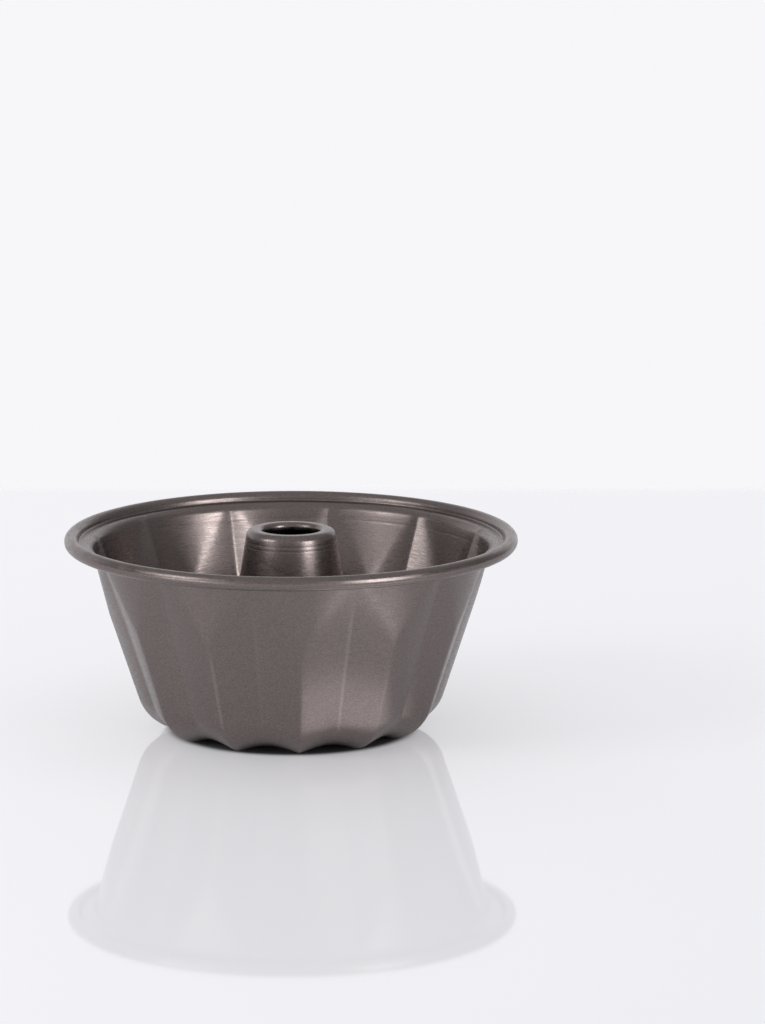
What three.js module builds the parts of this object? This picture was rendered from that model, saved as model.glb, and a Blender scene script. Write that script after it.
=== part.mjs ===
// Mini fluted tube pan: a drawn steel shell with a wired rim and a centre tube seamed into its floor.
// Millimetres, +Z up. The origin is on the table under the centre of the pan.
// One flute ridge points along +X, and the others follow round in equal steps.

import * as THREE from 'three';

// Overall sizes
const rimDiameter = 152.4;
const rimHeight = 67.1;
const tubeHeight = 68.5;
const sheet = 0.6;
const seatGap = 0.3;

// Rim: a bead curled round a wire, beside a narrow flat ledge
const beadDiameter = 4.7;
const curlOpening = 60;
const grooveBend = 0.6;
const ledgeFlat = 1.6;
const ledgeBend = 2.6;
const wireButtGap = 0.6;

// Wall: a plain cone, which the ridges leave to run down to the floor
const wallAngle = 14.5;

// Flutes: each starts narrow in the bend under the ledge and spreads until it meets its neighbours.
// Its sides would come to a point above the wall.
const fluteCount = 12;
const flutePointRise = 4.8;
const ridgeTipHeight = 40.0;
const fluteDepth = 2.8;
const footFluteDepth = 2.3;
const crestAngle = 2.1;

// Floor of the trough, from the wall to the fold that holds the tube
const bottomBend = 15.4;
const footFlat = 3.4;
const innerBottomBend = 3.7;
const webReach = 6.8;
const foldHeight = 5.0;
const foldBend = 0.9;

// Centre tube: a cone with an in-turned lip, its foot rolled round the collar of the floor
const mouthRadius = 9.7;
const mouthBend = 0.9;
const lipFlat = 1.4;
const lipBend = 2.0;
const lipDepth = 0.8;
const tubeFootRadius = 24.3;
const seamLift = 1.0;
const hemLap = 1.6;

// Facets: the steps of each bend, and of the rings
const beadSteps = 10;
const grooveSteps = 2;
const ledgeSteps = 3;
const bottomSteps = 7;
const innerSteps = 3;
const foldSteps = 4;
const hemSteps = 5;
const lipSteps = 4;
const mouthSteps = 3;
const tubeSteps = 48;
const wireSteps = 60;
const wireSides = 8;

const coatedSteel = new THREE.MeshStandardMaterial({ color: 0x6c615e, roughness: 0.36, metalness: 0.85 });
const tubeSteel = coatedSteel.clone();
const bareWire = new THREE.MeshStandardMaterial({ color: 0xa8a8a4, roughness: 0.42, metalness: 1.0 });

const radians = THREE.MathUtils.degToRad;
const half = sheet / 2;

// A station is a point on the middle of the sheet in the (radius, height) plane, with the
// direction of its underside, which is on the left of the way that the profile runs.
function station(radius, height, undersideAngle) {
  return { radius, height, outR: Math.cos(undersideAngle), outZ: Math.sin(undersideAngle) };
}

// Stations along a bend. The underside is inside a bend that turns left and outside one that turns right.
function bend(centre, radius, from, to, steps) {
  const turnsLeft = to > from;
  const stations = [];
  for (let i = 0; i <= steps; i += 1) {
    const angle = THREE.MathUtils.lerp(from, to, i / steps);
    const underside = turnsLeft ? angle + Math.PI : angle;
    const radial = centre.x + radius * Math.cos(angle);
    stations.push(station(radial, centre.y + radius * Math.sin(angle), underside));
  }
  return stations;
}

// Rim bead and wire
const curlRadius = beadDiameter / 2 - half;
const beadCentre = new THREE.Vector2(rimDiameter / 2 - beadDiameter / 2, rimHeight - beadDiameter / 2);
const wireRadius = curlRadius - half - seatGap;

// Centre tube, and the collar of the floor that its foot is rolled round
const mouthBendRadius = mouthBend + half;
const mouthCentre = new THREE.Vector2(mouthRadius + mouthBend + sheet, tubeHeight - mouthBend - sheet);
const lipRadius = lipBend + half;
const lipCentre = new THREE.Vector2(mouthCentre.x + lipFlat, tubeHeight - lipBend - sheet);
const hemRadius = sheet + seatGap;
const collarRadius = tubeFootRadius + hemRadius - half;
const collarEdgeHeight = seamLift + half + hemRadius;
const foldRadius = foldBend + half;
const foldCentre = new THREE.Vector2(collarRadius + foldRadius, foldHeight);
const foldTop = foldHeight + foldRadius + half;

// The shell's profile, from the free edge of the rim curl down the wall to the edge of the collar.
// Each station has the depth of the flutes there, and how far they have spread, from 0 to 1.
function shellProfile() {
  const lean = radians(wallAngle);
  const curl = bend(beadCentre, curlRadius, radians(curlOpening) - Math.PI, Math.PI, beadSteps);

  const grooveRadius = grooveBend + half;
  const grooveCentre = new THREE.Vector2(beadCentre.x - curlRadius - grooveRadius, beadCentre.y);
  const groove = bend(grooveCentre, grooveRadius, 0, -Math.PI / 2, grooveSteps).slice(1);

  const ledgeRadius = ledgeBend + half;
  const ledgeHeight = grooveCentre.y - grooveRadius;
  const ledgeCentre = new THREE.Vector2(grooveCentre.x - ledgeFlat, ledgeHeight - ledgeRadius);
  const ledge = bend(ledgeCentre, ledgeRadius, Math.PI / 2, Math.PI - lean, ledgeSteps);
  const wallTop = ledge[ledge.length - 1];

  // The flutes run out in the bend under the ledge
  const flutePointHeight = wallTop.height + flutePointRise;
  const topSpread = flutePointRise / (flutePointHeight - ridgeTipHeight);
  ledge.forEach((point, i) => {
    const share = i / (ledge.length - 1);
    Object.assign(point, { spread: topSpread, depth: share * topSpread * fluteDepth });
  });
  const wall = [0.5, 1].map((spread) => {
    const height = THREE.MathUtils.lerp(flutePointHeight, ridgeTipHeight, spread);
    const radius = wallTop.radius - (wallTop.height - height) * Math.tan(lean);
    return { ...station(radius, height, -lean), spread, depth: spread * fluteDepth };
  });

  // The ridges run straight from the end of the cone, tangent to the bend at the bottom
  const ridgeTip = wall[wall.length - 1];
  const innerRadius = innerBottomBend + half;
  const innerCentre = new THREE.Vector2(foldCentre.x + webReach, half + innerRadius);
  const bottomRadius = bottomBend + half;
  const bottomCentre = new THREE.Vector2(innerCentre.x + footFlat, half + bottomRadius);
  const toTip = new THREE.Vector2(ridgeTip.radius, ridgeTip.height).sub(bottomCentre);
  const ridgeUnderside = toTip.angle() - Math.acos(bottomRadius / toTip.length());
  const bottom = bend(bottomCentre, bottomRadius, ridgeUnderside, -Math.PI / 2, bottomSteps);

  // A straight web joins the inner bend of the floor to the fold, tangent to both
  const toFold = foldCentre.clone().sub(innerCentre);
  const webUnderside = toFold.angle() + Math.acos((innerRadius + foldRadius) / toFold.length());
  const inner = bend(innerCentre, innerRadius, 1.5 * Math.PI, webUnderside, innerSteps);
  const fold = bend(foldCentre, foldRadius, webUnderside - Math.PI, Math.PI, foldSteps);
  const collarEdge = station(collarRadius, collarEdgeHeight, 0);

  bottom.forEach((point, i) => {
    const share = i / (bottom.length - 1);
    Object.assign(point, { spread: 1, depth: THREE.MathUtils.lerp(fluteDepth, footFluteDepth, share) });
  });
  inner.forEach((point, i) => {
    const share = i / inner.length;
    Object.assign(point, { spread: 1, depth: THREE.MathUtils.lerp(footFluteDepth, 0, share) });
  });
  return [...curl, ...groove, ...ledge, ...wall, ...bottom, ...inner, ...fold, collarEdge];
}

// The columns of the shell: five across each flute, with a narrow crest left between two flutes.
// Away is 0 on the crease of a flute and 1 at its sides.
function shellColumns() {
  const pitch = (2 * Math.PI) / fluteCount;
  const halfFlute = (pitch - radians(crestAngle)) / 2;
  const columns = [];
  for (let flute = 0; flute < fluteCount; flute += 1) {
    for (const across of [-1, -0.5, 0, 0.5, 1]) {
      columns.push({ angle: (flute + 0.5) * pitch + across * halfFlute, away: Math.abs(across) });
    }
  }
  return columns;
}

// The sheet is pushed in towards the trough by the flutes: deepest on the crease, nothing at the sides
function fluteInset(point, away) {
  if (!point.depth) {
    return 0;
  }
  return point.depth * Math.max(0, 1 - away / point.spread);
}

function shellGeometry() {
  const profile = shellProfile();
  const columns = shellColumns();
  const positions = [];
  const indices = [];
  const rows = profile.length;

  for (const offset of [half, -half]) {
    for (const point of profile) {
      for (const column of columns) {
        const shift = offset - fluteInset(point, column.away);
        const radius = point.radius + shift * point.outR;
        const x = radius * Math.cos(column.angle);
        const y = radius * Math.sin(column.angle);
        positions.push(x, y, point.height + shift * point.outZ);
      }
    }
  }
  const under = (row, column) => row * columns.length + column;
  const upper = (row, column) => (rows + row) * columns.length + column;

  // A quad is split along the line that leaves the crease as the profile runs on
  function quad(a, b, c, d, splitAC) {
    if (splitAC) {
      indices.push(a, b, c, a, c, d);
    } else {
      indices.push(b, c, d, b, d, a);
    }
  }
  columns.forEach((column, i) => {
    const next = (i + 1) % columns.length;
    const leaving = column.away < columns[next].away;
    for (let row = 0; row < rows - 1; row += 1) {
      quad(under(row, i), under(row + 1, i), under(row + 1, next), under(row, next), leaving);
      quad(upper(row, next), upper(row + 1, next), upper(row + 1, i), upper(row, i), !leaving);
    }
    const last = rows - 1;
    quad(under(0, i), under(0, next), upper(0, next), upper(0, i), true);
    quad(under(last, next), under(last, i), upper(last, i), upper(last, next), true);
  });

  const geometry = new THREE.BufferGeometry();
  geometry.setAttribute('position', new THREE.Float32BufferAttribute(positions, 3));
  geometry.setIndex(indices);
  geometry.computeVertexNormals();
  return geometry;
}

// The tube's profile, from the free edge of its hem, round the collar and up to the edge of its lip
function tubeProfile() {
  const hemCentre = new THREE.Vector2(collarRadius, collarEdgeHeight);
  const hemEdge = station(collarRadius + hemRadius, collarEdgeHeight + hemLap, 0);
  const hem = bend(hemCentre, hemRadius, 0, -Math.PI, hemSteps);
  const footRadius = collarRadius - hemRadius;
  const toLip = lipCentre.clone().sub(new THREE.Vector2(footRadius, foldTop));
  const coneOutward = toLip.angle() - Math.acos(-lipRadius / toLip.length());
  const footTop = station(footRadius, foldTop, Math.PI + coneOutward / 2);
  const lip = bend(lipCentre, lipRadius, coneOutward, Math.PI / 2, lipSteps);
  const mouth = bend(mouthCentre, mouthBendRadius, Math.PI / 2, Math.PI, mouthSteps);
  const mouthEdge = station(mouthCentre.x - mouthBendRadius, mouthCentre.y - lipDepth, 0);
  return [hemEdge, ...hem, footTop, ...lip, ...mouth, mouthEdge];
}

function tubeGeometry() {
  const profile = tubeProfile();
  const face = (offset) => profile.map(
    (point) => new THREE.Vector2(point.radius + offset * point.outR, point.height + offset * point.outZ),
  );
  const outline = [...face(-half), ...face(half).reverse()];
  outline.push(outline[0].clone());
  return new THREE.LatheGeometry(outline, tubeSteps).rotateX(Math.PI / 2);
}

// The wire is bent to a ring whose ends butt inside the curl
class WireRing extends THREE.Curve {
  getPoint(share, target = new THREE.Vector3()) {
    const gapAngle = wireButtGap / beadCentre.x;
    const angle = gapAngle / 2 + share * (2 * Math.PI - gapAngle);
    return target.set(beadCentre.x * Math.cos(angle), beadCentre.x * Math.sin(angle), beadCentre.y);
  }
}

function wireGeometry() {
  const section = new THREE.Shape();
  section.absarc(0, 0, wireRadius, 0, 2 * Math.PI);
  return new THREE.ExtrudeGeometry(section, {
    steps: wireSteps,
    curveSegments: wireSides / 2,
    extrudePath: new WireRing(),
  });
}

function piece(name, geometry, material) {
  const mesh = new THREE.Mesh(geometry, material);
  mesh.name = name;
  return mesh;
}

const pan = new THREE.Group();
pan.add(
  piece('pan_shell', shellGeometry(), coatedSteel),
  piece('centre_tube', tubeGeometry(), tubeSteel),
  piece('rim_wire', wireGeometry(), bareWire),
);

export default pan;
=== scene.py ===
import math

import bpy
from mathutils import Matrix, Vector


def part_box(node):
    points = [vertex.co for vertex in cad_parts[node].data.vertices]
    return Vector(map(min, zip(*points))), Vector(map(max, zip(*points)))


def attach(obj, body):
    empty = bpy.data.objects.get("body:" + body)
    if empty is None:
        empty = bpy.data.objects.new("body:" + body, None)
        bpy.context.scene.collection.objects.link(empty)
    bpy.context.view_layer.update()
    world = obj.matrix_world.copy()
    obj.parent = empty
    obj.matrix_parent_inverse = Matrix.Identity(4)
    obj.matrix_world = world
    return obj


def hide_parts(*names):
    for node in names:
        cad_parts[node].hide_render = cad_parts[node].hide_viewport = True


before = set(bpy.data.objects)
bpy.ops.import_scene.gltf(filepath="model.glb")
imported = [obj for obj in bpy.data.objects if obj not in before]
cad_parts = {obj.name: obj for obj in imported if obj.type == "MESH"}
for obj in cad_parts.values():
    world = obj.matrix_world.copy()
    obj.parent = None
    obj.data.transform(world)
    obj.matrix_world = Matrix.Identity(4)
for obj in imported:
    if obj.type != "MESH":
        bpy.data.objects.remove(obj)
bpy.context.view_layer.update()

MM = 0.001

# Sheet, clearance and rim, in metres, as the frame has them
SHEET = 0.6 * MM
HALF = SHEET / 2
SEAT_GAP = 0.3 * MM
BEAD_DIAMETER = 4.7 * MM
CURL_OPENING = math.radians(60)
GROOVE_BEND = 0.6 * MM
LEDGE_FLAT = 1.6 * MM
LEDGE_BEND = 2.6 * MM

# Wall and flutes
FLUTES = 12
WALL_ANGLE = math.radians(14.5)
FLUTE_POINT_RISE = 4.8 * MM
RIDGE_TIP_HEIGHT = 40.0 * MM
FLUTE_DEPTH = 2.8 * MM
FOOT_FLUTE_DEPTH = 2.3 * MM
SCOOP_SHARE = 0.6
LEAST_SPREAD = 0.02

# Rounding of creases and crests, as shares of half a flute, and of open sides, as a share of the depth
CREASE_ROUND = 0.02
FOOT_ROUND = 0.7
CREST_ROUND = 0.03
SIDE_ROUND = 0.2
# Share of the open sides' rounding that is gone where a flute has its full width
SIDE_SHARPENING = 0.85

# Floor of the trough and the fold round the tube's foot
BOTTOM_BEND = 15.4 * MM
FOOT_FLAT = 3.4 * MM
INNER_BOTTOM_BEND = 3.7 * MM
WEB_REACH = 6.8 * MM
FOLD_HEIGHT = 5.0 * MM
FOLD_BEND = 0.9 * MM

# Centre tube
MOUTH_RADIUS = 9.7 * MM
MOUTH_BEND = 0.9 * MM
LIP_FLAT = 1.4 * MM
LIP_BEND = 2.0 * MM
LIP_DEPTH = 0.8 * MM
TUBE_FOOT_RADIUS = 24.3 * MM
SEAM_LIFT = 1.0 * MM
HEM_LAP = 1.6 * MM

# Fine lines that the drawing tools left round the wall and the tube
WALL_LINES = (59.0 * MM,)
TUBE_LINES = (63.4 * MM, 64.8 * MM)
LINE_DEPTH = 0.027 * MM
LINE_WIDTH = 0.35 * MM
FINE_REACH = 3 * LINE_WIDTH
FINE_STEP = 0.2 * MM
COARSE_STEP = 1.0 * MM

# Steps along each bend and straight of the sheet, and angles round its free edges
CURL_STEPS = 24
GROOVE_STEPS = 6
LEDGE_STEPS = 9
RIDGE_STEPS = 12
BOTTOM_STEPS = 20
INNER_STEPS = 9
WEB_STEPS = 4
FOLD_STEPS = 9
COLLAR_STEPS = 3
HEM_STEPS = 16
LIP_STEPS = 14
MOUTH_STEPS = 10
EDGE_TURNS = tuple(math.radians(angle) for angle in (45, 90, 135))

# Steps round each flute, how far they crowd at its crease and crest, and the gap that is welded shut
SHELL_FLUTE_STEPS = 28
TUBE_FLUTE_STEPS = 10
SHELL_CROWDING = 0.75
TUBE_CROWDING = 0.0
WELD_DISTANCE = 0.0005 * MM

# Overall sizes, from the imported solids
RIM_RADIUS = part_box("pan_shell")[1].x
RIM_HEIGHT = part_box("pan_shell")[1].z
TUBE_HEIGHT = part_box("centre_tube")[1].z

# Sizes that follow from these
BEAD_CENTRE = Vector((RIM_RADIUS - BEAD_DIAMETER / 2, RIM_HEIGHT - BEAD_DIAMETER / 2))
CURL_RADIUS = BEAD_DIAMETER / 2 - HALF
HEM_RADIUS = SHEET + SEAT_GAP
COLLAR_RADIUS = TUBE_FOOT_RADIUS + HEM_RADIUS - HALF
COLLAR_EDGE = SEAM_LIFT + HALF + HEM_RADIUS
FOLD_RADIUS = FOLD_BEND + HALF
FOLD_CENTRE = Vector((COLLAR_RADIUS + FOLD_RADIUS, FOLD_HEIGHT))
FOLD_TOP = FOLD_HEIGHT + FOLD_RADIUS + HALF

# Noises of the finishes, each with its scale, detail and roughness, and the band of values that is used
GRAIN_NOISE = (1.0, 3.0, 0.65)
FLAKE_NOISE = (2600.0, 1.0, 0.5)
WIRE_NOISE = (1.0, 2.0, 0.55)
NOISE_BAND = (0.3, 0.7)

# Coating: its dark and light flakes, and the grain that runs round the pan
COAT_DARK = (0.165, 0.138, 0.132, 1.0)
COAT_LIGHT = (0.22, 0.184, 0.176, 1.0)
COAT_ROUGHNESS = (0.24, 0.38)
GRAIN_LINES = 2400.0
GRAIN_HEIGHT = 0.05 * MM
SHELL_GRAIN_TURNS = 12.0
SHELL_GRAIN_RELIEF = 0.15
TUBE_GRAIN_TURNS = 6.0
TUBE_GRAIN_RELIEF = 0.05

# Painted highlights along the coating's creases and crests: where they start, and how they come and go
# round the pan
COAT_PAINTED_HIGHLIGHT = (0.42, 0.36, 0.345, 1.0)
EDGE_SHARE = 0.07
EDGE_HIGHLIGHT = 0.22
CREST_FADE = 10 * MM
CREASE_HIGHLIGHT_SPREAD = (0.3, 0.8)
HIGHLIGHT_START = (6 * MM, 14 * MM)
LEAST_HIGHLIGHT = 0.25
HIGHLIGHT_TURNS = 8
MOST_HIGHLIGHTED = math.radians(240)
HIGHLIGHT_SWING = (-0.5, 1.0)

# Bare wire, with a grain that is finest along Z
WIRE_COLOUR = (0.55, 0.55, 0.53, 1.0)
WIRE_ROUGHNESS = (0.34, 0.48)
WIRE_GRAIN = (200.0, 200.0, 4000.0)

# Camera, from the photograph's 765 by 1024 frame
IMAGE_WIDTH = 765
IMAGE_HEIGHT = 1024
METRES_PER_PIXEL = 0.33605 * MM
AXIS_PIXEL = 291.15
BEAD_PIXEL = 539.35
VIEW_ELEVATION = math.radians(11.1)
VIEW_AZIMUTH = math.radians(-4.4)
VIEW_DISTANCE = 2.13
VIEW_END = 50.0
SENSOR_MILLIMETRES = 24.0

# Table, with the bands of radius in which its white and its glows fade out beneath the pan as a painted
# shadow
TABLE_REACH = 0.434
TABLE_FADE = 0.02
TABLE_WHITE = (0.82, 0.82, 0.845, 1.0)
TABLE_PAINTED_SHADOW = (0.25, 0.25, 0.26, 1.0)
TABLE_ROUGHNESS = 0.04
TABLE_IOR = 1.26
PAINTED_SHADOW_BAND = (38 * MM, 43 * MM)
GLOW_COLOUR = (0.97, 0.97, 1.0, 1.0)
TABLE_GLOW = 0.31
TABLE_GLOW_BAND = (39 * MM, 44 * MM)
MIRRORED_GLOW = 0.29
MIRRORED_GLOW_BAND = (36 * MM, 48 * MM)

# Painted reflections: arcs of glow on the table, in front of the pan at the right, that show only where the
# pan mirrors them
PAINTED_REFLECTION_ARCS = (
    # Inner radius, outer radius, middle of the arc from the camera's side, half the arc, strength
    (50 * MM, 86 * MM, math.radians(33), math.radians(25), 0.78),
    (108 * MM, 144 * MM, math.radians(38), math.radians(19), 1.2),
)
ARC_EDGE = 12 * MM
ARC_SOFT_SHARE = 0.3

# Room: its colours, and the bands of direction, on a sphere of radius 1, where each comes in
WALL_WHITE = (0.93, 0.925, 0.95, 1.0)
ROOM_DIM = (0.3, 0.3, 0.31, 1.0)
ROOM_LIT = (0.55, 0.55, 0.56, 1.0)
WALL_HEADING = (-0.2, 0.98, 0.0)
WALL_BAND = (0.45, 0.75)
WALL_TOP_BAND = (0.4, 0.7)
BELOW_BAND = (-0.03, 0.0)
FRONT_BAND = (-0.85, -0.35)
CEILING_BAND = (0.55, 0.85)

# Soft boxes round the pan
BOX_DISTANCE = 1.3
SOFT_BOXES = (
    # Name, degrees to the right of -Y, degrees above level, width, height, watts
    ("left_box", -66, 31, 0.54, 0.48, 3.0),
    ("left_low_box", -55, 0, 0.7, 0.45, 2.3),
    ("right_box", 41, 11, 0.5, 0.92, 9.5),
)


# Profiles of bent sheet
class Station:
    """A point on the middle of the sheet, in radius and height, with the direction of its underside.

    Depth and spread are the flute's depth and its share of the full width there. Scooped is how far its
    crease has widened into a scoop, and sunk is how deep a drawn line lies in the upper face.
    """

    def __init__(self, radius, height, underside, depth=0.0, spread=0.0):
        self.radius = radius
        self.height = height
        self.out = Vector((math.cos(underside), math.sin(underside)))
        self.depth = depth
        self.spread = spread
        self.scooped = 0.0
        self.sunk = 0.0

    def beside(self, distance):
        """The point at a distance from the middle of the sheet, towards its underside."""
        return Vector((self.radius, self.height)) + self.out * distance


def eased(share):
    """A share from 0 to 1 that starts and ends gently."""
    return share * share * (3 - 2 * share)


def bend(centre, radius, start, end, steps):
    """Stations round a bend: the underside is inside a left turn and outside a right one."""
    turn = math.pi if end > start else 0.0
    stations = []
    for i in range(steps + 1):
        angle = start + (end - start) * i / steps
        x = centre.x + radius * math.cos(angle)
        z = centre.y + radius * math.sin(angle)
        stations.append(Station(x, z, angle + turn))
    return stations


def straight(start, end, steps):
    """Stations between two others, without the two ends, turning evenly from one to the other."""
    stations = []
    for i in range(1, steps):
        share = i / steps
        middle = Station(
            start.radius + (end.radius - start.radius) * share,
            start.height + (end.height - start.height) * share,
            0.0,
            start.depth + (end.depth - start.depth) * share,
            start.spread + (end.spread - start.spread) * share,
        )
        middle.out = start.out.lerp(end.out, share).normalized()
        stations.append(middle)
    return stations


def tangent_angle(centre, radius, point, side):
    """Direction of the radius of a circle whose tangent there passes through a point, on side 1 or -1."""
    reach = point - centre
    return math.atan2(reach.y, reach.x) + side * math.acos(radius / reach.length)


def graded(start, end, lines):
    """Heights after start and up to end, closer together beside the drawn lines."""
    way = math.copysign(1.0, end - start)
    heights = []
    height = start
    while True:
        near = any(abs(height - line) < FINE_REACH for line in lines)
        height += way * (FINE_STEP if near else COARSE_STEP)
        if (end - height) * way < FINE_STEP:
            return heights + [end]
        heights.append(height)


def draw_lines(stations, lines):
    """Sinks the drawn lines into the upper face of the sheet."""
    for station in stations:
        for line in lines:
            station.sunk += LINE_DEPTH * math.exp(-(((station.height - line) / LINE_WIDTH) ** 2))


def rim_stations():
    """The rim curl with the groove beside it, and the ledge with its bend down to the wall."""
    curl = bend(BEAD_CENTRE, CURL_RADIUS, CURL_OPENING - math.pi, math.pi, CURL_STEPS)
    groove_radius = GROOVE_BEND + HALF
    groove_centre = Vector((BEAD_CENTRE.x - CURL_RADIUS - groove_radius, BEAD_CENTRE.y))
    groove = bend(groove_centre, groove_radius, 0.0, -math.pi / 2, GROOVE_STEPS)
    ledge_radius = LEDGE_BEND + HALF
    ledge_centre = Vector((groove_centre.x - LEDGE_FLAT, groove_centre.y - groove_radius - ledge_radius))
    ledge = bend(ledge_centre, ledge_radius, math.pi / 2, math.pi - WALL_ANGLE, LEDGE_STEPS)
    return [*curl, *groove[1:]], ledge


def wall_stations(ledge):
    """The wall from the ledge down to the tips of the ridges. The flutes start in the ledge's bend."""
    top = ledge[-1]
    point_height = top.height + FLUTE_POINT_RISE
    opening = point_height - RIDGE_TIP_HEIGHT
    top_spread = FLUTE_POINT_RISE / opening
    for i, station in enumerate(ledge):
        station.spread = top_spread
        station.depth = top_spread * FLUTE_DEPTH * eased(i / LEDGE_STEPS)
    wall = []
    for height in graded(top.height, RIDGE_TIP_HEIGHT, WALL_LINES):
        spread = (point_height - height) / opening
        radius = top.radius - (top.height - height) * math.tan(WALL_ANGLE)
        wall.append(Station(radius, height, -WALL_ANGLE, spread * FLUTE_DEPTH, spread))
    draw_lines(wall, WALL_LINES)
    return wall


def trough_stations(tip):
    """From the tip of a ridge down to the floor of the trough, and over the fold to the collar's edge."""
    inner_radius = INNER_BOTTOM_BEND + HALF
    inner_centre = Vector((FOLD_CENTRE.x + WEB_REACH, HALF + inner_radius))
    bottom_radius = BOTTOM_BEND + HALF
    bottom_centre = Vector((inner_centre.x + FOOT_FLAT, HALF + bottom_radius))
    ridge_underside = tangent_angle(bottom_centre, bottom_radius, tip.beside(0.0), -1)
    web_underside = tangent_angle(inner_centre, inner_radius + FOLD_RADIUS, FOLD_CENTRE, 1)
    bottom = bend(bottom_centre, bottom_radius, ridge_underside, -math.pi / 2, BOTTOM_STEPS)
    inner = bend(inner_centre, inner_radius, 1.5 * math.pi, web_underside, INNER_STEPS)
    fold = bend(FOLD_CENTRE, FOLD_RADIUS, web_underside - math.pi, math.pi, FOLD_STEPS)
    collar_edge = Station(COLLAR_RADIUS, COLLAR_EDGE, 0.0)

    for station in (*bottom, *inner, *fold):
        station.spread = 1.0
    for i, station in enumerate(bottom):
        share = i / BOTTOM_STEPS
        station.depth = FLUTE_DEPTH + (FOOT_FLUTE_DEPTH - FLUTE_DEPTH) * share
        station.scooped = eased(min(1.0, share / SCOOP_SHARE))
    for i, station in enumerate(inner):
        station.depth = FOOT_FLUTE_DEPTH * (1 - eased(i / len(inner)))
        station.scooped = 1.0

    ridge = straight(tip, bottom[0], RIDGE_STEPS)
    web = straight(inner[-1], fold[0], WEB_STEPS)
    collar = straight(fold[-1], collar_edge, COLLAR_STEPS)
    return [*ridge, *bottom, *inner, *web, *fold, *collar, collar_edge]


def shell_profile():
    """The drawn shell, from the free edge of the rim curl to the edge of the collar."""
    rim, ledge = rim_stations()
    wall = wall_stations(ledge)
    return [*rim, *ledge, *wall, *trough_stations(wall[-1])]


def tube_profile():
    """The centre tube, from the free edge of its hem up to the edge of its lip."""
    hem_edge = Station(COLLAR_RADIUS + HEM_RADIUS, COLLAR_EDGE + HEM_LAP, 0.0)
    hem = bend(Vector((COLLAR_RADIUS, COLLAR_EDGE)), HEM_RADIUS, 0.0, -math.pi, HEM_STEPS)
    mouth_radius = MOUTH_BEND + HALF
    mouth_centre = Vector((MOUTH_RADIUS + MOUTH_BEND + SHEET, TUBE_HEIGHT - MOUTH_BEND - SHEET))
    lip_radius = LIP_BEND + HALF
    lip_centre = Vector((mouth_centre.x + LIP_FLAT, TUBE_HEIGHT - LIP_BEND - SHEET))
    foot_radius = COLLAR_RADIUS - HEM_RADIUS
    cone_outward = tangent_angle(lip_centre, lip_radius, Vector((foot_radius, FOLD_TOP)), 1)
    foot_top = Station(foot_radius, FOLD_TOP, math.pi + cone_outward / 2)
    lip = bend(lip_centre, lip_radius, cone_outward, math.pi / 2, LIP_STEPS)
    mouth = bend(mouth_centre, mouth_radius, math.pi / 2, math.pi, MOUTH_STEPS)
    mouth_edge = Station(mouth_centre.x - mouth_radius, mouth_centre.y - LIP_DEPTH, 0.0)

    cone = []
    cone_top = lip[0]
    for height in graded(foot_top.height, cone_top.height, TUBE_LINES)[:-1]:
        share = (height - foot_top.height) / (cone_top.height - foot_top.height)
        radius = foot_top.radius + (cone_top.radius - foot_top.radius) * share
        cone.append(Station(radius, height, math.pi + cone_outward))
    draw_lines(cone, TUBE_LINES)
    return [hem_edge, *hem, foot_top, *cone, *lip, *mouth, mouth_edge]


def rounded_edge(station, side):
    """Points round a free edge, each with its station: side is 1 at a profile's end and -1 at its start."""
    forward = Vector((station.out.y, -station.out.x)) * side
    points = []
    for turn in EDGE_TURNS:
        across = station.beside(HALF * math.cos(turn) * side)
        points.append((station, across + forward * (HALF * math.sin(turn))))
    return points


def meridian(name, stations):
    """A closed loop of points round the sheet, with its rounded edges, as a mesh for the node tree."""
    loop = [(station, station.beside(HALF)) for station in stations]
    loop += rounded_edge(stations[-1], 1)
    loop += [(station, station.beside(station.sunk - HALF)) for station in reversed(stations)]
    loop += rounded_edge(stations[0], -1)

    mesh = bpy.data.meshes.new(name)
    mesh.from_pydata([(point.x, 0.0, point.y) for station, point in loop], [], [])
    push = []
    for station, point in loop:
        push += [station.out.x, 0.0, station.out.y]
    mesh.attributes.new("push", "FLOAT_VECTOR", "POINT").data.foreach_set("vector", push)
    marks = {
        "depth": [station.depth for station, point in loop],
        "spread": [max(station.spread, LEAST_SPREAD) for station, point in loop],
        "scooped": [station.scooped for station, point in loop],
    }
    for label, values in marks.items():
        mesh.attributes.new(label, "FLOAT", "POINT").data.foreach_set("value", values)
    return mesh


# Node trees
class NodeTree:
    """Adds nodes to a tree and links them, so that a formula reads in order."""

    def __init__(self, tree):
        self.tree = tree

    def node(self, kind, **settings):
        """A new node with its settings."""
        node = self.tree.nodes.new(kind)
        for key, value in settings.items():
            setattr(node, key, value)
        return node

    def feed(self, socket, value):
        """Links another node's output to a socket, or sets a plain value there."""
        if isinstance(value, bpy.types.NodeSocket):
            self.tree.links.new(value, socket)
        else:
            socket.default_value = value

    def feed_in_order(self, node, values):
        """Feeds the first sockets of a node."""
        for socket, value in zip(node.inputs, values):
            self.feed(socket, value)

    def math(self, operation, *values):
        """The result of an operation on numbers."""
        node = self.node("ShaderNodeMath", operation=operation)
        self.feed_in_order(node, values)
        return node.outputs[0]

    def parts(self, vector):
        """The X, Y and Z of a vector."""
        node = self.node("ShaderNodeSeparateXYZ")
        self.feed(node.inputs[0], vector)
        return node.outputs

    def joined(self, x=0.0, y=0.0, z=0.0):
        """A vector from its X, Y and Z."""
        node = self.node("ShaderNodeCombineXYZ")
        self.feed_in_order(node, (x, y, z))
        return node.outputs[0]


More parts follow.
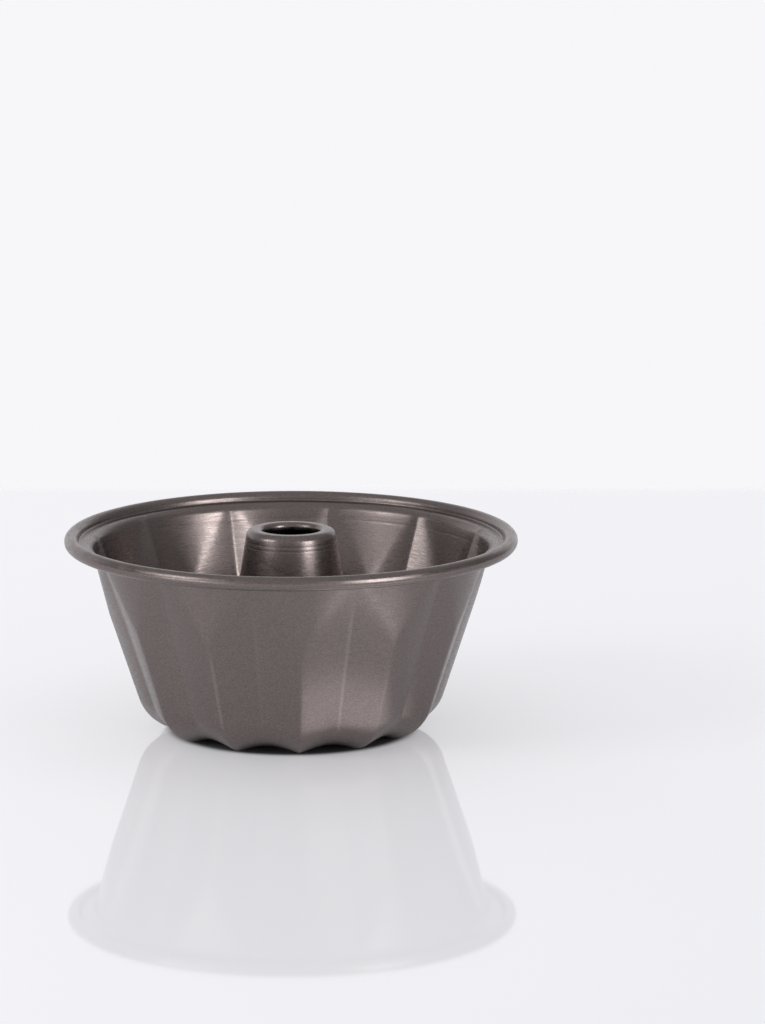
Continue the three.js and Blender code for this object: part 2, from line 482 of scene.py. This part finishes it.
class ShapeTree(NodeTree):
    """A group of geometry nodes with named sockets."""

    def __init__(self, name):
        super().__init__(bpy.data.node_groups.new(name, "GeometryNodeTree"))
        self.inputs = {}

    def socket(self, name, kind, into=True):
        """A named input or output of the group."""
        way = "INPUT" if into else "OUTPUT"
        made = self.tree.interface.new_socket(name, in_out=way, socket_type=kind)
        self.inputs[name] = made.identifier

    def group(self, tree, **values):
        """The outputs of another group that is used here."""
        node = self.node("GeometryNodeGroup", node_tree=tree)
        for name, value in values.items():
            self.feed(node.inputs[name.replace("_", " ")], value)
        return node.outputs

    def after(self, shape, kind, **values):
        """A shape after one more node, with values for the node's named sockets."""
        node = self.node(kind)
        self.feed(node.inputs[0], shape)
        for name, value in values.items():
            self.feed(node.inputs[name], value)
        return node.outputs[0]

    def soft_root(self, value, softness):
        """Square root of value squared plus softness squared: an absolute value with a rounded foot."""
        square = self.math("MULTIPLY", value, value)
        return self.math("SQRT", self.math("MULTIPLY_ADD", softness, softness, square))

    def soft_size(self, value, softness):
        """An absolute value with a rounded foot that still starts at 0."""
        return self.math("SUBTRACT", self.soft_root(value, softness), softness)


class LookTree(NodeTree):
    """The nodes of a finish, or of the light of a room."""

    # A Mix node has sockets for each kind of data, and these are the ones for colours
    MIX_COLOURS = (6, 7)
    MIX_RESULT = 2

    def vector(self, operation, *values):
        """The result of an operation on vectors, which is a number for a length or a dot product."""
        node = self.node("ShaderNodeVectorMath", operation=operation)
        self.feed_in_order(node, values)
        return node.outputs["Value" if operation in ("LENGTH", "DOT_PRODUCT") else "Vector"]

    def noise(self, place, scale, detail, roughness):
        """A noise from 0 to 1."""
        node = self.node("ShaderNodeTexNoise")
        self.feed(node.inputs["Vector"], place)
        self.feed(node.inputs["Scale"], scale)
        self.feed(node.inputs["Detail"], detail)
        self.feed(node.inputs["Roughness"], roughness)
        return node.outputs["Fac"]

    def attribute(self, name):
        """A value that the mesh carries."""
        return self.node("ShaderNodeAttribute", attribute_name=name).outputs["Fac"]

    def spread(self, value, band, low=0.0, high=1.0):
        """Eases from low to high while a value crosses a band."""
        node = self.node("ShaderNodeMapRange", interpolation_type="SMOOTHSTEP")
        self.feed_in_order(node, (value, *band, low, high))
        return node.outputs["Result"]

    def blend(self, share, low, high):
        """A colour between two others."""
        node = self.node("ShaderNodeMix", data_type="RGBA")
        self.feed(node.inputs["Factor"], share)
        for index, colour in zip(self.MIX_COLOURS, (low, high)):
            self.feed(node.inputs[index], colour)
        return node.outputs[self.MIX_RESULT]


class Finish(LookTree):
    """A material with one shader."""

    def __init__(self, name):
        self.material = bpy.data.materials.new(name)
        self.material.use_nodes = True
        super().__init__(self.material.node_tree)
        self.shader = self.tree.nodes["Principled BSDF"]

    def look(self, name, value):
        """Sets one of the shader's inputs."""
        self.feed(self.shader.inputs[name], value)

    def place(self):
        """The point on the piece, in the object's own frame."""
        return self.node("ShaderNodeTexCoord").outputs["Object"]


# Node tree that turns a meridian round the axis and presses the flutes in
def flute_inset_tree():
    """How far the sheet is pushed in, from how far round it is from the crease of its flute."""
    t = ShapeTree("flute_inset")
    for name in ("Away", "Depth", "Spread", "Crease round", "Crest round", "Side round"):
        t.socket(name, "NodeSocketFloat")
    t.socket("Inset", "NodeSocketFloat", into=False)
    given = t.node("NodeGroupInput").outputs
    rounded = t.soft_size(given["Away"], given["Crease round"])
    reach = t.soft_size(1.0, given["Crease round"])
    to_crest = t.math("SUBTRACT", 1.0, t.math("DIVIDE", rounded, reach))
    away = t.math("SUBTRACT", 1.0, t.soft_size(to_crest, given["Crest round"]))
    left = t.math("SUBTRACT", 1.0, t.math("DIVIDE", away, given["Spread"]))
    slope = t.math("MULTIPLY", given["Depth"], left)
    open_side = t.math("MULTIPLY_ADD", given["Spread"], -SIDE_SHARPENING, 1.0)
    softness = t.math("MULTIPLY", t.math("MULTIPLY", given["Depth"], given["Side round"]), open_side)
    inset = t.math("MULTIPLY", t.math("ADD", slope, t.soft_root(slope, softness)), 0.5)
    end = t.node("NodeGroupOutput")
    t.feed(end.inputs["Inset"], inset)
    return t.tree


def fluted_revolve_tree():
    """Turns a meridian loop round the Z axis in steps that crowd at the creases and crests."""
    t = ShapeTree("fluted_revolve")
    t.socket("Meridian", "NodeSocketGeometry")
    for name in ("Flutes", "Steps per flute"):
        t.socket(name, "NodeSocketInt")
    for name in ("Crowding", "Crease round", "Foot round", "Crest round", "Side round"):
        t.socket(name, "NodeSocketFloat")
    t.socket("Finish", "NodeSocketMaterial")
    t.socket("Piece", "NodeSocketGeometry", into=False)
    given = t.node("NodeGroupInput").outputs

    # A square grid with a column for each step round and a row for each point of the loop
    size = t.node("GeometryNodeAttributeDomainSize")
    t.feed(size.inputs["Geometry"], given["Meridian"])
    rows = size.outputs["Point Count"]
    columns = t.math("MULTIPLY", given["Flutes"], given["Steps per flute"])
    grid = t.node("GeometryNodeMeshGrid")
    t.feed(grid.inputs["Size X"], 1.0)
    t.feed(grid.inputs["Size Y"], 1.0)
    t.feed(grid.inputs["Vertices X"], t.math("ADD", columns, 1.0))
    t.feed(grid.inputs["Vertices Y"], t.math("ADD", rows, 1.0))
    place = t.parts(t.node("GeometryNodeInputPosition").outputs[0])
    across = t.math("ADD", place["X"], 0.5)
    along = t.math("ADD", place["Y"], 0.5)
    row = t.math("MODULO", t.math("ROUND", t.math("MULTIPLY", along, rows)), rows)

    def sampled(kind, source):
        pick = t.node("GeometryNodeSampleIndex", data_type=kind, domain="POINT")
        t.feed(pick.inputs["Geometry"], given["Meridian"])
        t.feed(pick.inputs["Value"], source.outputs[0])
        t.feed(pick.inputs["Index"], row)
        return pick.outputs[0]

    def sampled_mark(kind, name):
        source = t.node("GeometryNodeInputNamedAttribute", data_type=kind)
        t.feed(source.inputs["Name"], name)
        return sampled(kind, source)

    point = t.parts(sampled("FLOAT_VECTOR", t.node("GeometryNodeInputPosition")))
    push = t.parts(sampled_mark("FLOAT_VECTOR", "push"))
    depth = sampled_mark("FLOAT", "depth")
    spread = sampled_mark("FLOAT", "spread")
    scooped = sampled_mark("FLOAT", "scooped")
    softer = t.math("SUBTRACT", given["Foot round"], given["Crease round"])
    crease_round = t.math("MULTIPLY_ADD", scooped, softer, given["Crease round"])

    # Two waves in each flute crowd the columns at its crease and at its crest
    two_waves = 2 * math.tau
    even_turn = t.math("MULTIPLY", across, given["Flutes"])
    wave = t.math("SINE", t.math("MULTIPLY", even_turn, two_waves))
    shift = t.math("MULTIPLY", wave, t.math("DIVIDE", given["Crowding"], two_waves))
    turn = t.math("SUBTRACT", even_turn, shift)
    away = t.math("ABSOLUTE", t.math("MULTIPLY_ADD", t.math("FRACT", turn), 2.0, -1.0))
    angle = t.math("MULTIPLY", t.math("DIVIDE", turn, given["Flutes"]), math.tau)

    inset_tree = flute_inset_tree()
    rounds = {
        "Depth": depth,
        "Spread": spread,
        "Crease_round": crease_round,
        "Crest_round": given["Crest round"],
        "Side_round": given["Side round"],
    }
    here = t.group(inset_tree, Away=away, **rounds)["Inset"]
    on_crest = t.group(inset_tree, Away=1.0, **rounds)["Inset"]
    inset = t.math("SUBTRACT", here, on_crest)
    radius = t.math("SUBTRACT", point["X"], t.math("MULTIPLY", push["X"], inset))
    height = t.math("SUBTRACT", point["Z"], t.math("MULTIPLY", push["Z"], inset))
    x = t.math("MULTIPLY", radius, t.math("COSINE", angle))
    y = t.math("MULTIPLY", radius, t.math("SINE", angle))

    shape = grid.outputs["Mesh"]
    for name, value in (("from_crease", away), ("spread", spread)):
        shape = t.after(shape, "GeometryNodeStoreNamedAttribute", Name=name, Value=value)
    shape = t.after(shape, "GeometryNodeSetPosition", Position=t.joined(x, y, height))
    shape = t.after(shape, "GeometryNodeMergeByDistance", Distance=WELD_DISTANCE)
    shape = t.after(shape, "GeometryNodeFlipFaces")
    shape = t.after(shape, "GeometryNodeSetShadeSmooth")
    shape = t.after(shape, "GeometryNodeRealizeInstances")
    shape = t.after(shape, "GeometryNodeSetMaterial", Material=given["Finish"])
    end = t.node("NodeGroupOutput")
    t.feed(end.inputs["Piece"], shape)
    return t


def revolved_piece(name, stations, revolve, **values):
    """A finished piece: the meridian turned by the node tree and kept as a plain mesh."""
    holder = bpy.data.objects.new(name + "_meridian", meridian(name + "_meridian", stations))
    bpy.context.scene.collection.objects.link(holder)
    modifier = holder.modifiers.new("revolve", "NODES")
    modifier.node_group = revolve.tree
    for key, value in values.items():
        modifier[revolve.inputs[key.replace("_", " ")]] = value
    bpy.context.view_layer.update()
    evaluated = holder.evaluated_get(bpy.context.evaluated_depsgraph_get())
    mesh = bpy.data.meshes.new_from_object(evaluated)
    mesh.name = name
    piece = bpy.data.objects.new(name, mesh)
    bpy.context.scene.collection.objects.link(piece)
    bpy.data.objects.remove(holder)
    return piece


# Finishes
def coated_steel(name, turns, relief):
    """Brown-grey metallic coating: a fine grain round the axis, a fine sparkle, and painted highlights
    along the creases and crests that are stronger at some turns round the pan.

    Turns is how fast the grain changes round the axis, and relief is how strongly it stands out.
    """
    f = Finish(name)
    place = f.place()
    sides = f.parts(place)
    height = sides["Z"]
    flat = f.vector("MULTIPLY", place, (1.0, 1.0, 0.0))
    climb = f.math("ADD", height, f.vector("LENGTH", flat))
    across_grain = f.joined(z=f.math("MULTIPLY", climb, GRAIN_LINES))
    round_axis = f.vector("MULTIPLY", f.vector("NORMALIZE", flat), (turns, turns, 0.0))
    grain = f.noise(f.vector("ADD", round_axis, across_grain), *GRAIN_NOISE)
    sparkle = f.noise(place, *FLAKE_NOISE)

    # Painted highlights: a lighter colour along the creases and crests above the foot, uneven round the pan
    from_crease = f.attribute("from_crease")
    on_crease = f.spread(from_crease, (0.0, EDGE_SHARE), 1.0, 0.0)
    on_crest = f.spread(from_crease, (1.0 - EDGE_SHARE, 1.0))
    below_tip = f.spread(height, (RIDGE_TIP_HEIGHT - CREST_FADE, RIDGE_TIP_HEIGHT), 1.0, 0.0)
    crest = f.math("MULTIPLY", on_crest, below_tip)
    crease = f.math("MULTIPLY", on_crease, f.spread(f.attribute("spread"), CREASE_HIGHLIGHT_SPREAD))
    angle = f.math("ARCTAN2", sides["Y"], sides["X"])
    wave = f.math("COSINE", f.math("MULTIPLY", f.math("SUBTRACT", angle, MOST_HIGHLIGHTED), HIGHLIGHT_TURNS))
    uneven = f.spread(wave, HIGHLIGHT_SWING, LEAST_HIGHLIGHT, 1.0)
    above_foot = f.spread(height, HIGHLIGHT_START, 0.0, EDGE_HIGHLIGHT)
    painted_highlight = f.math("MULTIPLY", f.math("MAXIMUM", crease, crest), f.math("MULTIPLY", above_foot, uneven))

    flake = f.blend(f.spread(sparkle, NOISE_BAND), COAT_DARK, COAT_LIGHT)
    # The lighter colour on creases and crests is a painted highlight
    f.look("Base Color", f.blend(painted_highlight, flake, COAT_PAINTED_HIGHLIGHT))
    f.look("Roughness", f.spread(grain, NOISE_BAND, *COAT_ROUGHNESS))
    f.look("Metallic", 1.0)
    bump = f.node("ShaderNodeBump")
    f.feed(bump.inputs["Strength"], relief)
    f.feed(bump.inputs["Distance"], GRAIN_HEIGHT)
    f.feed(bump.inputs["Height"], grain)
    f.look("Normal", bump.outputs[0])
    return f.material


def drawn_wire():
    """Bare steel wire with faint lines along its length."""
    f = Finish("drawn_wire")
    lines = f.noise(f.vector("MULTIPLY", f.place(), WIRE_GRAIN), *WIRE_NOISE)
    f.look("Base Color", WIRE_COLOUR)
    f.look("Roughness", f.spread(lines, NOISE_BAND, *WIRE_ROUGHNESS))
    f.look("Metallic", 1.0)
    return f.material


# Camera, table and light
def heading(azimuth, elevation=0.0):
    """A direction from the pan, turned to the right of -Y and raised above level."""
    level = math.cos(elevation)
    return Vector((math.sin(azimuth) * level, -math.cos(azimuth) * level, math.sin(elevation)))


def place_camera():
    """The photograph's view, aimed so that the pan's axis and the middle of its bead meet their pixels."""
    data = bpy.data.cameras.new("camera")
    camera = bpy.data.objects.new("camera", data)
    bpy.context.scene.collection.objects.link(camera)
    data.sensor_fit = "VERTICAL"
    data.sensor_height = SENSOR_MILLIMETRES
    data.lens = SENSOR_MILLIMETRES * VIEW_DISTANCE / (IMAGE_HEIGHT * METRES_PER_PIXEL)
    data.clip_end = VIEW_END
    back = heading(VIEW_AZIMUTH, VIEW_ELEVATION)
    camera.rotation_euler = back.to_track_quat("Z", "Y").to_euler()
    right = camera.rotation_euler.to_matrix() @ Vector((1, 0, 0))
    up = camera.rotation_euler.to_matrix() @ Vector((0, 1, 0))
    aim = Vector((0, 0, BEAD_CENTRE.y))
    aim += right * ((IMAGE_WIDTH / 2 - AXIS_PIXEL) * METRES_PER_PIXEL)
    aim += up * ((BEAD_PIXEL - IMAGE_HEIGHT / 2) * METRES_PER_PIXEL)
    camera.location = aim + back * VIEW_DISTANCE
    bpy.context.scene.camera = camera


def light_table():
    """A glossy white light table, square to the camera, that mirrors the pan and has a painted shadow
    beneath it.
    """
    bpy.ops.mesh.primitive_plane_add(size=2 * TABLE_REACH)
    floor = bpy.context.object
    floor.name = "table_top"
    floor.rotation_euler.z = VIEW_AZIMUTH
    f = Finish("white_table")
    place = f.place()
    reach = f.vector("LENGTH", place)
    path = f.node("ShaderNodeLightPath").outputs
    # The glow fades out beneath the pan, to the camera and in the pan's reflections: a painted shadow
    seen = f.math("MULTIPLY", path["Is Camera Ray"], f.spread(reach, TABLE_GLOW_BAND, 0.0, TABLE_GLOW))
    mirrored = f.spread(reach, MIRRORED_GLOW_BAND, 0.0, MIRRORED_GLOW)
    # Arcs of glow that only the pan's reflections see: painted reflections
    for inner, outer, middle, half, strength in PAINTED_REFLECTION_ARCS:
        towards = f.vector("DOT_PRODUCT", f.vector("NORMALIZE", place), heading(middle))
        ends = (math.cos((1 + ARC_SOFT_SHARE) * half), math.cos((1 - ARC_SOFT_SHARE) * half))
        arc = f.spread(towards, ends, 0.0, strength)
        past_inner = f.spread(reach, (inner, inner + ARC_EDGE))
        before_outer = f.spread(reach, (outer - ARC_EDGE, outer), 1.0, 0.0)
        mirrored = f.math("MULTIPLY_ADD", arc, f.math("MULTIPLY", past_inner, before_outer), mirrored)
    f.look("Emission Strength", f.math("MULTIPLY_ADD", path["Is Glossy Ray"], mirrored, seen))
    f.look("Emission Color", GLOW_COLOUR)
    # Dark base colour beneath the pan: a painted shadow
    f.look("Base Color", f.blend(f.spread(reach, PAINTED_SHADOW_BAND), TABLE_PAINTED_SHADOW, TABLE_WHITE))
    f.look("Roughness", TABLE_ROUGHNESS)
    f.look("IOR", TABLE_IOR)
    sides = f.parts(f.vector("ABSOLUTE", place))
    edge = f.math("MAXIMUM", sides["X"], sides["Y"])
    f.look("Alpha", f.spread(edge, (TABLE_REACH - TABLE_FADE, TABLE_REACH), 1.0, 0.0))
    floor.data.materials.append(f.material)


def studio_room():
    """White behind the pan and below the table, and a dim room that is lighter in front and overhead."""
    world = bpy.data.worlds.new("studio")
    bpy.context.scene.world = world
    world.use_nodes = True
    r = LookTree(world.node_tree)
    way = r.node("ShaderNodeTexCoord").outputs["Generated"]
    sides = r.parts(way)
    behind = r.spread(r.vector("DOT_PRODUCT", way, WALL_HEADING), WALL_BAND)
    low_down = r.spread(sides["Z"], WALL_TOP_BAND, 1.0, 0.0)
    below = r.spread(sides["Z"], BELOW_BAND, 1.0, 0.0)
    front = r.spread(sides["Y"], FRONT_BAND, 1.0, 0.0)
    overhead = r.spread(sides["Z"], CEILING_BAND)
    room = r.blend(r.math("MAXIMUM", front, overhead), ROOM_DIM, ROOM_LIT)
    white = r.math("MAXIMUM", r.math("MULTIPLY", behind, low_down), below)
    r.feed(r.tree.nodes["Background"].inputs["Color"], r.blend(white, room, WALL_WHITE))


def soft_box(name, azimuth, elevation, width, height, watts):
    """A soft lamp that faces the pan."""
    data = bpy.data.lights.new(name, "AREA")
    data.shape = "RECTANGLE"
    data.size = width
    data.size_y = height
    data.energy = watts
    lamp = bpy.data.objects.new(name, data)
    bpy.context.scene.collection.objects.link(lamp)
    way = heading(math.radians(azimuth), math.radians(elevation))
    lamp.location = way * BOX_DISTANCE
    lamp.rotation_euler = way.to_track_quat("Z", "Y").to_euler()
    return lamp


def light_only(lamp, *receivers):
    """Keeps a lamp's light to the objects given."""
    lit = bpy.data.collections.new(lamp.name + "_receivers")
    for receiver in receivers:
        lit.objects.link(receiver)
    lamp.light_linking.receiver_collection = lit


bpy.context.scene.view_settings.view_transform = "Standard"
place_camera()
light_table()
studio_room()
boxes = {name: soft_box(name, *settings) for name, *settings in SOFT_BOXES}

# Pieces of the pan
revolve = fluted_revolve_tree()
rounding = {
    "Crease_round": CREASE_ROUND,
    "Foot_round": FOOT_ROUND,
    "Crest_round": CREST_ROUND,
    "Side_round": SIDE_ROUND,
}
shell = revolved_piece(
    "fluted_shell",
    shell_profile(),
    revolve,
    Flutes=FLUTES,
    Steps_per_flute=SHELL_FLUTE_STEPS,
    Crowding=SHELL_CROWDING,
    Finish=coated_steel("coated_shell", SHELL_GRAIN_TURNS, SHELL_GRAIN_RELIEF),
    **rounding,
)
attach(shell, "root")
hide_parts("pan_shell")

tube = revolved_piece(
    "centre_tube_skin",
    tube_profile(),
    revolve,
    Flutes=FLUTES,
    Steps_per_flute=TUBE_FLUTE_STEPS,
    Crowding=TUBE_CROWDING,
    Finish=coated_steel("coated_tube", TUBE_GRAIN_TURNS, TUBE_GRAIN_RELIEF),
    **rounding,
)
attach(tube, "root")
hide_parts("centre_tube")

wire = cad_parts["rim_wire"]
wire.data.materials.clear()
wire.data.materials.append(drawn_wire())

# The right-hand box lights only the pan, because the table would mirror it as a glare
light_only(boxes["right_box"], shell, tube, wire)
